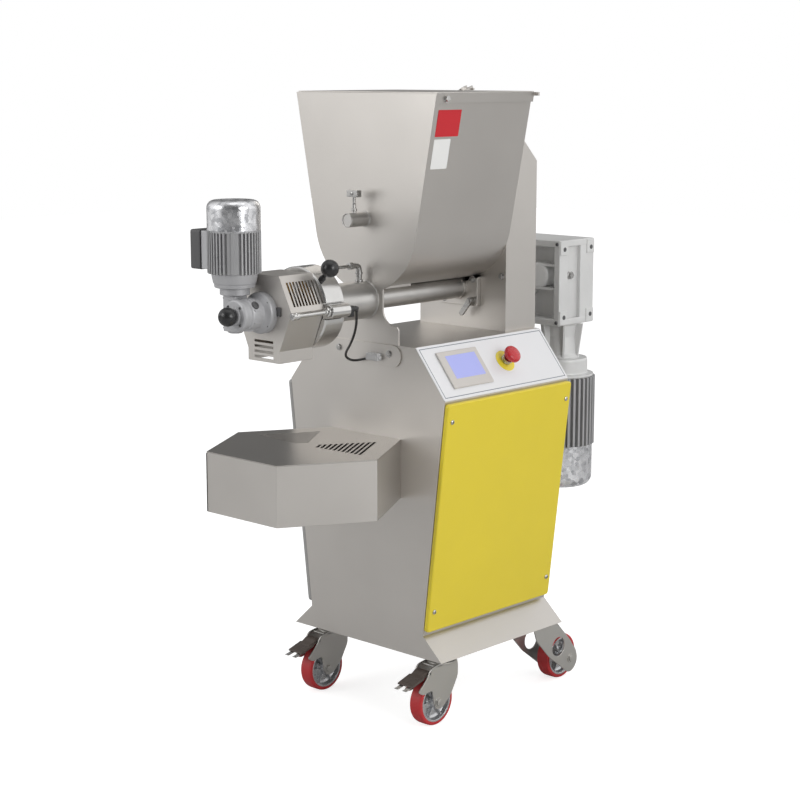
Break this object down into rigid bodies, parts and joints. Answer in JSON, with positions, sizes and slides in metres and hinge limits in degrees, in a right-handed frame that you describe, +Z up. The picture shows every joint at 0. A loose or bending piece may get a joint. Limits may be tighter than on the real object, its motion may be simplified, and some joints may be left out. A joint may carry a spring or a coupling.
{
  "type": "electric pasta maker",
  "caption": "Floor-standing electric pasta extruder on castors: open-top dough hopper with lid, screw barrel, die with swing-away guarded cutter, touch panel and drying fan box.",
  "frame": {"origin": "middle of the footprint, on the floor", "axes": "+Z up, the extrusion side faces -Y, the control panel is on +X"},
  "size_m": [0.571, 1.26, 1.615],
  "materials": {
    "steel_sheet": "fine brushed sheet",
    "steel_turned": "turned, satin",
    "steel_bolts": "polished",
    "door_yellow": "gloss paint",
    "door_grey": "gloss paint",
    "panel_white": "satin film",
    "bezel_grey": "matte",
    "display_blue": "lit film",
    "stop_yellow": "satin",
    "stop_red": "satin",
    "black_plastic": "satin",
    "light_plastic": "matte",
    "bronze": "machined",
    "cast_alloy": "cast, satin",
    "zinc_sheet": "galvanised",
    "pedal_brown": "matte",
    "red_tread": "matte"
  },
  "bodies": {
    "machine": {"front_plate": "steel_sheet", "cabinet_shell": "steel_sheet", "rear_panel": "steel_sheet", "base_tray": "steel_sheet", "left_door": "door_grey", "right_door": "door_yellow", "door_screws": "steel_bolts", "control_panel": "panel_white", "screen_bezel": "bezel_grey", "screen_display": "display_blue", "estop_collar": "stop_yellow", "hopper_tub": "steel_sheet", "mixer_spigot": "steel_turned", "column": "steel_sheet", "hex_bolts": "steel_bolts", "barrel": "steel_turned", "die_tube": "steel_turned", "die_ring": "steel_turned", "die": "bronze", "hinge_block": "steel_turned", "guard_sensor": "black_plastic", "sensor_cable": "black_plastic", "cable_connector": "light_plastic", "cover_plate": "steel_sheet", "barrel_fitting": "steel_turned", "drive_gearbox": "cast_alloy", "drive_motor": "cast_alloy", "drive_fan_cover": "zinc_sheet", "fan_box": "steel_sheet", "fan_lid": "steel_sheet", "castor_plates": "zinc_sheet", "rear_castors": "zinc_sheet"},
    "lid": {"hopper_lid": "steel_sheet"},
    "screw": {"extrusion_screw": "steel_turned"},
    "mixer": {"mixer_shaft": "steel_turned"},
    "lock_pin": {"shaft_lock_pin": "steel_bolts"},
    "lever": {"flange_lever": "steel_turned"},
    "clamp_knob": {"lock_knob": "black_plastic"},
    "cutting_unit": {"guard_hood": "steel_sheet", "hinge_rod": "steel_turned", "cutter_gearbox": "cast_alloy", "cutter_motor": "cast_alloy", "terminal_lid": "black_plastic", "cutter_fan_cover": "zinc_sheet"},
    "cutter": {"cutter_head": "steel_turned"},
    "adjuster": {"adjuster_knob": "black_plastic"},
    "impeller": {"fan_impeller": "steel_turned"},
    "stop_button": {"estop_button": "stop_red"},
    "castor_left": {"fork_front_left": "zinc_sheet"},
    "castor_right": {"fork_front_right": "zinc_sheet"},
    "wheel_front_left": {"tyre_front_left": "red_tread", "hub_front_left": "cast_alloy"},
    "wheel_front_right": {"tyre_front_right": "red_tread", "hub_front_right": "cast_alloy"},
    "wheel_rear_left": {"tyre_rear_left": "red_tread", "hub_rear_left": "cast_alloy"},
    "wheel_rear_right": {"tyre_rear_right": "red_tread", "hub_rear_right": "cast_alloy"},
    "pedal_left": {"brake_pedal_left": "pedal_brown"},
    "pedal_right": {"brake_pedal_right": "pedal_brown"}
  },
  "joints": [
    {"name": "lid_hinge", "type": "hinge", "parent": "machine", "child": "lid", "pos_m": [0, 0.252, 1.606], "axis": [-1, 0, 0], "range_deg": [0, 95]},
    {"name": "screw_spin", "type": "hinge", "parent": "machine", "child": "screw", "pos_m": [0, -0.144, 1.084], "axis": [0, 1, 0], "continuous": true},
    {"name": "mixer_spin", "type": "hinge", "parent": "machine", "child": "mixer", "pos_m": [0, -0.144, 1.287], "axis": [0, 1, 0], "continuous": true},
    {"name": "lock_pin_slide", "type": "slide", "parent": "machine", "child": "lock_pin", "axis": [0, 0, 1], "range_m": [0, 0.012]},
    {"name": "lever_turn", "type": "hinge", "parent": "machine", "child": "lever", "pos_m": [0.05, 0.206, 1.053], "axis": [0, -1, 0], "range_deg": [0, 100]},
    {"name": "clamp_knob_turn", "type": "hinge", "parent": "machine", "child": "clamp_knob", "pos_m": [0, -0.37, 1.084], "axis": [0.7071, 0, 0.7071], "continuous": true},
    {"name": "cutting_unit_swing", "type": "hinge", "parent": "machine", "child": "cutting_unit", "pos_m": [0.11, -0.444, 1.084], "axis": [0, -1, 0], "range_deg": [0, 110]},
    {"name": "cutter_spin", "type": "hinge", "parent": "cutting_unit", "child": "cutter", "pos_m": [0, -0.444, 1.084], "axis": [0, 1, 0], "continuous": true},
    {"name": "adjuster_turn", "type": "hinge", "parent": "cutting_unit", "child": "adjuster", "pos_m": [0, -0.604, 1.084], "axis": [0, 1, 0], "continuous": true},
    {"name": "impeller_spin", "type": "hinge", "parent": "machine", "child": "impeller", "pos_m": [0, -0.35834, 0.62], "axis": [0, 0, 1], "continuous": true},
    {"name": "stop_press", "type": "slide", "parent": "machine", "child": "stop_button", "axis": [-0.7821, 0, -0.6231], "range_m": [0, 0.005], "stiffness_N_per_m": 800},
    {"name": "castor_left_swivel", "type": "hinge", "parent": "machine", "child": "castor_left", "pos_m": [-0.2, -0.073, 0.16], "axis": [0, 0, 1], "continuous": true},
    {"name": "castor_right_swivel", "type": "hinge", "parent": "machine", "child": "castor_right", "pos_m": [0.2, -0.073, 0.16], "axis": [0, 0, 1], "continuous": true},
    {"name": "wheel_front_left_roll", "type": "hinge", "parent": "castor_left", "child": "wheel_front_left", "pos_m": [-0.2, -0.111, 0.0625], "axis": [1, 0, 0], "continuous": true},
    {"name": "wheel_front_right_roll", "type": "hinge", "parent": "castor_right", "child": "wheel_front_right", "pos_m": [0.2, -0.111, 0.0625], "axis": [1, 0, 0], "continuous": true},
    {"name": "wheel_rear_left_roll", "type": "hinge", "parent": "machine", "child": "wheel_rear_left", "pos_m": [-0.2, 0.405, 0.0625], "axis": [1, 0, 0], "continuous": true},
    {"name": "wheel_rear_right_roll", "type": "hinge", "parent": "machine", "child": "wheel_rear_right", "pos_m": [0.2, 0.405, 0.0625], "axis": [1, 0, 0], "continuous": true},
    {"name": "pedal_left_press", "type": "hinge", "parent": "castor_left", "child": "pedal_left", "pos_m": [-0.2, -0.142, 0.146], "axis": [1, 0, 0], "range_deg": [0, 12]},
    {"name": "pedal_right_press", "type": "hinge", "parent": "castor_right", "child": "pedal_right", "pos_m": [0.2, -0.142, 0.146], "axis": [1, 0, 0], "range_deg": [0, 12]}
  ],
  "couplings": [
    {"joint": "mixer_spin", "follows": "screw_spin", "ratio": 0.5}
  ]
}
